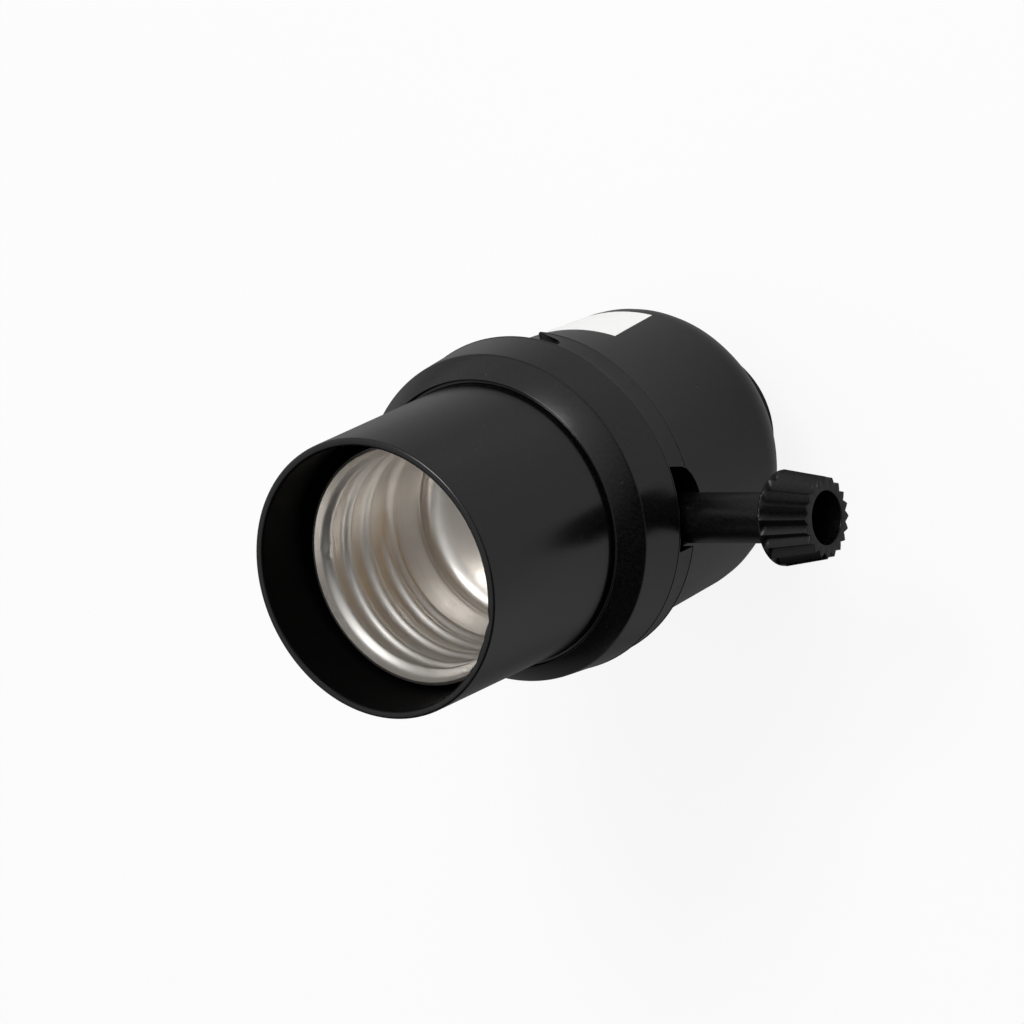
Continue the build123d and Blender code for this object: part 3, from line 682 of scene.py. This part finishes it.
class SOCKET_OT_cup(bpy.types.Operator):
    """Draw the metal cup and roll the bulb's thread into its wall"""

    bl_idname = "socket.cup"
    bl_label = "Screw shell"

    row = 0.2
    steps = 168
    lip_level = 59.7
    foot_level = 58.95
    # Thread: a crest's height at an azimuth, and the azimuths between which it starts to rise
    thread_level = 55.65
    thread_azimuth = 190.0
    thread_start = (-565.0, -510.0)
    crest_sharpness = 3
    crest_blend = 4
    crest_margin = 0.2
    smooth_levels = (46.7, 48.1)
    bead_level = 41.95
    bead_width = 0.3
    bead_height = 0.12
    dish_depth = 1.6
    dish_reach = 2.6
    dish_steps = 14

    def execute(self, context):
        self.sizes = context.scene.socket_cup
        self.crest = self.sizes.crest_radius / MM
        self.root = self.sizes.root_radius / MM
        self.pitch = self.sizes.pitch / MM
        self.sheet = self.sizes.sheet / MM
        self.rim_radius = (cup_high.x - self.sizes.sheet) / MM
        top = cup_high.z / MM
        floor = cup_low.z / MM + self.sheet
        self.corner = floor + self.dish_depth
        tall = top - self.corner
        rows = round(tall / self.row)
        outline = [(self.crest, top - tall * row / rows) for row in range(rows + 1)]
        for step in range(1, self.dish_steps + 1):
            angle = math.pi / 2 * step / self.dish_steps
            reach = self.crest - self.dish_reach * (1 - math.cos(angle))
            outline.append((reach, self.corner - self.dish_depth * math.sin(angle)))
        outline.append((self.sizes.hole_radius / MM, floor))
        piece = turned("screw_shell_finished", outline, self.steps)
        reshape(piece, self.roll)
        centre = (cup_low.y + cup_high.y) / 2
        reshape(piece, lambda spot: spot + Vector((0, centre, 0)))
        apply(piece, "SOLIDIFY", thickness=self.sizes.sheet, offset=1.0, use_even_offset=True)
        smooth(piece, 40)
        place(piece, "socket", "nickel_silver", "nickel_plated_sheet", "screw_shell")
        return {"FINISHED"}

    def roll(self, spot):
        """Moves a point of the plain wall out to the rolled one."""
        height = spot.z / MM
        if height < self.corner - 0.01:
            return spot
        azimuth = math.degrees(math.atan2(spot.y, spot.x)) % 360
        radius = self.wall_radius(height, azimuth) * MM
        share = radius / math.hypot(spot.x, spot.y)
        return Vector((spot.x * share, spot.y * share, spot.z))

    def wall_radius(self, height, azimuth):
        """Inner radius of the wall in millimetres."""
        humps = [self.hump(height - self.foot_level)]
        for turn in range(-3, 3):
            angle = azimuth + 360 * turn
            crest = self.thread_level + self.pitch * (angle - self.thread_azimuth) / 360
            present = ease(angle, *self.thread_start)
            if crest < self.foot_level + self.crest_margin:
                humps.append(self.hump(height - crest) * present)
        blend = self.crest_blend
        hump = min(sum(part**blend for part in humps) ** (1 / blend), 1.0)
        radius = self.root - (self.root - self.crest) * hump
        radius += (self.crest - radius) * (1 - ease(height, *self.smooth_levels))
        flare = max(height - self.lip_level, 0) / (cup_high.z / MM - self.lip_level)
        radius += (self.rim_radius - self.root) * flare
        bead = math.exp(-((height - self.bead_level) / self.bead_width) ** 2)
        return radius - self.bead_height * bead

    def hump(self, distance):
        """1 on a crest and 0 half a pitch from it."""
        share = min(abs(distance) / (self.pitch / 2), 1)
        return (0.5 + 0.5 * math.cos(math.pi * share)) ** self.crest_sharpness


class SOCKET_OT_knob(bpy.types.Operator):
    """Model the knob: a round stem and a tapered head with pointed ribs"""

    bl_idname = "socket.knob"
    bl_label = "Knob"

    points_per_rib = 8
    rows = 24
    back_round = 0.5
    # Where the grooves start and reach their full depth, from the head's back edge
    run_out = (0.3, 0.75)
    groove_floor = 3.6
    rib_phase = 6.0
    bore_radius = 1.62
    bore_depth = 12.6
    hole_depth = 4.4

    def execute(self, context):
        sizes = context.scene.socket_knob
        self.ribs = sizes.ribs
        self.depth = sizes.rib_depth
        front = (knob_high.x - knob_low.x) / MM
        self.back = front - sizes.head_length / MM
        stem = sizes.stem_radius / MM
        hole = sizes.hole_radius / MM
        corners = [
            (0.0, self.bore_depth, 0),
            (self.bore_radius, self.bore_depth, 0),
            (self.bore_radius, 0.0, 0.1),
            (stem, 0.0, 0.25),
            (stem, self.back, 0.3),
            (sizes.back_radius / MM, self.back, self.back_round),
            (sizes.front_radius / MM, front, 0.12),
            (hole, front, 0.12),
            (hole, front - self.hole_depth, 0.3),
            (0.0, front - self.hole_depth, 0),
        ]
        outline = self.with_rows(rounded(corners))
        piece = turned("knob_finished", outline, self.ribs * self.points_per_rib, "X")
        reshape(piece, self.rib)
        centre = (knob_low + knob_high) / 2
        shift = Vector((knob_low.x, centre.y, centre.z))
        turn = Matrix.Rotation(math.radians(self.rib_phase), 4, "X")
        reshape(piece, lambda spot: turn @ spot + shift)
        smooth(piece, 24)
        place(piece, "turn_knob", "black_plastic", "knob_plastic", "knob")
        return {"FINISHED"}

    def with_rows(self, outline):
        """Outline with short steps along the head's side, where the grooves run out."""
        rows = []
        for before, after in zip(outline, outline[1:]):
            rows.append(before)
            if before.x > self.groove_floor and after.y - before.y > self.back_round:
                rows += [before.lerp(after, step / self.rows) for step in range(1, self.rows)]
        return rows + [outline[-1]]

    def rib(self, spot):
        """Sinks the grooves between the ribs into the head."""
        radius = math.hypot(spot.y, spot.z) / MM
        level = spot.x / MM
        if radius < self.groove_floor or level < self.back:
            return spot
        angle = math.atan2(spot.z, spot.y) % FULL_TURN
        share = (angle / FULL_TURN * self.ribs) % 1
        groove = 1 - abs(2 * share - 1)
        start, end = self.run_out
        sink = 1 - self.depth * groove * ease(level - self.back, start, end)
        return Vector((spot.x, spot.y * sink, spot.z * sink))


class SOCKET_OT_label(bpy.types.Operator):
    """Wrap the plain paper label on the cap"""

    bl_idname = "socket.label"
    bl_label = "Label"

    # The cap's tapered side: its radius at a level, and how much it grows with height
    cap_radius = 17.2
    cap_level = 6.6
    cap_slope = 0.85 / 26.3
    lift = 0.02
    paper = 0.09
    cells = (64, 24)

    def execute(self, context):
        self.sizes = context.scene.socket_label
        self.level = (label_low.z + label_high.z) / 2
        bpy.ops.object.select_all(action="DESELECT")
        across, up = self.cells
        bpy.ops.mesh.primitive_grid_add(x_subdivisions=across, y_subdivisions=up, size=1)
        piece = context.object
        piece.name = "label_finished"
        reshape(piece, self.wrap)
        bpy.ops.object.mode_set(mode="EDIT")
        bpy.ops.mesh.select_all(action="SELECT")
        bpy.ops.mesh.flip_normals()
        bpy.ops.object.mode_set(mode="OBJECT")
        apply(piece, "SOLIDIFY", thickness=self.paper * MM, offset=1.0)
        smooth(piece, 40)
        place(piece, "socket", "paper", "label_paper", "label")
        return {"FINISHED"}

    def wrap(self, spot):
        """Lays a point of the flat sheet on the cap's tapered side."""
        across = spot.x * self.sizes.width
        up = spot.y * self.sizes.height
        turn = Matrix.Rotation(self.sizes.tilt, 2)
        across, up = turn @ Vector((across, up))
        level = self.level + up
        radius = self.cap_radius + (level / MM - self.cap_level) * self.cap_slope + self.lift
        radius *= MM
        azimuth = self.sizes.azimuth + math.asin(across / radius)
        return Vector((radius * math.cos(azimuth), radius * math.sin(azimuth), level))


# The photograph's camera: its place in metres, its axes and its focal length in pixels
CAMERA_PLACE = (0.3965, 0.1454, 0.5796)
CAMERA_RIGHT = (0.8151, -0.1510, -0.5594)
CAMERA_UP = (0.0, 0.9660, -0.2603)
CAMERA_FORWARD = (-0.5794, -0.2120, -0.7870)
FOCAL_PIXELS = 6000
PHOTO_PIXELS = 1024
SENSOR = 36.0
LIT_SPOT = (0, 0, 0.03)
FLOOR_SIZE = 6.0
FLOOR_COLOUR = (0.85, 0.85, 0.85)
FLOOR_SEEN = 0.88
# Share and colours of the painted reflection that the floor glows with in glossy rays: dark, and
# pale where it stands in for bright surroundings
FLOOR_MIRRORED = 0.85
FLOOR_PAINTED_DARK = (0.08, 0.08, 0.08)
FLOOR_PAINTED_PALE = (0.5, 0.5, 0.5)
SKY_DARK = 0.02
SKY_BRIGHT = 0.76
WHITE = (1, 1, 1)


def soft_lamp(name, spot, size, power):
    """Square soft box that shines on the socket."""
    bpy.ops.object.light_add(type="AREA", location=spot)
    lamp = bpy.context.object
    lamp.name = name
    lamp.data.shape = "SQUARE"
    lamp.data.size = size
    lamp.data.energy = power
    direction = Vector(LIT_SPOT) - lamp.location
    lamp.rotation_euler = direction.to_track_quat("-Z", "Y").to_euler()


class SOCKET_OT_stage(bpy.types.Operator):
    """Set up the camera, the floor and soft studio light"""

    bl_idname = "socket.stage"
    bl_label = "Stage"

    bright_side = (-0.2, 0.65, 0.73)

    def execute(self, context):
        bpy.ops.object.select_all(action="DESELECT")
        self.photo_camera(context)
        bpy.ops.mesh.primitive_plane_add(size=FLOOR_SIZE)
        floor = context.object
        floor.name = "floor"
        paint(floor, self.floor_finish())
        soft_lamp("key_lamp", (0.2, 0.8, 0.95), size=0.5, power=9.5)
        self.sky(context)
        context.scene.view_settings.view_transform = "Standard"
        return {"FINISHED"}

    def photo_camera(self, context):
        """Camera that sees the socket as the photograph does."""
        bpy.ops.object.camera_add()
        camera = context.object
        camera.name = "photo_camera"
        axes = (CAMERA_RIGHT, CAMERA_UP, [-part for part in CAMERA_FORWARD])
        camera.matrix_world = Matrix.Translation(CAMERA_PLACE) @ Matrix(axes).transposed().to_4x4()
        camera.data.sensor_width = SENSOR
        camera.data.lens = FOCAL_PIXELS / PHOTO_PIXELS * SENSOR
        camera.data.clip_start = 0.01
        context.scene.camera = camera

    def floor_finish(self):
        """Floor that keeps the shadow and is nearly white to the camera; in reflections it glows
        with painted light, dark with a pale strip along +X and a paler +Y side.
        """
        finish = Finish("floor_white")
        seen = finish.add("ShaderNodeLightPath", output="Is Camera Ray")
        mirrored = finish.add("ShaderNodeLightPath", output="Is Glossy Ray")
        diffuse = finish.add("ShaderNodeBsdfDiffuse", values={"Color": FLOOR_COLOUR})
        # Painted reflection: a pale strip along +X and a paler +Y side on a dark floor, seen only
        # in reflections
        across = finish.along(0)
        painted_strip = across.above(0.0, 0.06) * (1 - across.above(0.12, 0.15))
        painted_pale_share = painted_strip + 0.6 * finish.along(1).above(0.01, 0.03)
        painted_reflection = finish.mix(painted_pale_share, FLOOR_PAINTED_DARK, FLOOR_PAINTED_PALE)
        values = {"Color": finish.mix(seen, painted_reflection, WHITE)}
        glow = finish.add("ShaderNodeEmission", values=values)
        share = seen * FLOOR_SEEN + mirrored * FLOOR_MIRRORED
        values = {0: share, 1: diffuse, 2: glow}
        return finish.end(finish.add("ShaderNodeMixShader", values=values))

    def sky(self, context):
        """Dark surroundings with one bright side, all white to the camera."""
        world = context.scene.world or bpy.data.worlds.new("studio")
        context.scene.world = world
        world.use_nodes = True
        nodes = Nodes(world.node_tree)
        seen = nodes.add("ShaderNodeLightPath", output="Is Camera Ray")
        ray = nodes.add("ShaderNodeTexCoord", output="Generated")
        values = {0: ray, 1: self.bright_side}
        towards = nodes.add("ShaderNodeVectorMath", {"operation": "DOT_PRODUCT"}, values, "Value")
        glow = SKY_DARK + SKY_BRIGHT * towards.above(0.1, 0.55)
        values = {"Color": WHITE, "Strength": glow + seen * (1 - glow)}
        back = nodes.add("ShaderNodeBackground", values=values)
        nodes.add("ShaderNodeOutputWorld", values={"Surface": back})


class SOCKET_PT_panel(bpy.types.Panel):
    """Lists the socket's pieces"""

    bl_label = "Lamp Socket"
    bl_idname = "SOCKET_PT_panel"
    bl_space_type = "VIEW_3D"
    bl_region_type = "UI"
    bl_category = "Lamp Socket"

    def draw(self, context):
        for name in GROUPS:
            group = getattr(context.scene, name)
            box = self.layout.box()
            for size in group.__annotations__:
                box.prop(group, size)
        for operator in OPERATORS:
            self.layout.operator(operator.bl_idname)


GROUPS = {
    "socket_shell": SocketShellSizes,
    "socket_cup": SocketCupSizes,
    "socket_knob": SocketKnobSizes,
    "socket_label": SocketLabelSizes,
    "socket_colours": SocketColours,
}
OPERATORS = (
    SOCKET_OT_finishes,
    SOCKET_OT_shell,
    SOCKET_OT_cap,
    SOCKET_OT_cup,
    SOCKET_OT_knob,
    SOCKET_OT_label,
    SOCKET_OT_stage,
)
CLASSES = (*GROUPS.values(), *OPERATORS, SOCKET_PT_panel)


def register():
    """Adds the classes and their settings to Blender."""
    for kind in CLASSES:
        bpy.utils.register_class(kind)
    for name, group in GROUPS.items():
        setattr(bpy.types.Scene, name, bpy.props.PointerProperty(type=group))


def unregister():
    """Takes them away again."""
    for name in GROUPS:
        delattr(bpy.types.Scene, name)
    for kind in reversed(CLASSES):
        bpy.utils.unregister_class(kind)


def main():
    """Builds the socket and its stage."""
    register()
    bpy.ops.socket.finishes()
    bpy.ops.socket.shell()
    bpy.ops.socket.cap()
    bpy.ops.socket.cup()
    bpy.ops.socket.knob()
    bpy.ops.socket.label()
    bpy.ops.socket.stage()
    bpy.context.view_layer.update()


if __name__ == "__main__":
    main()
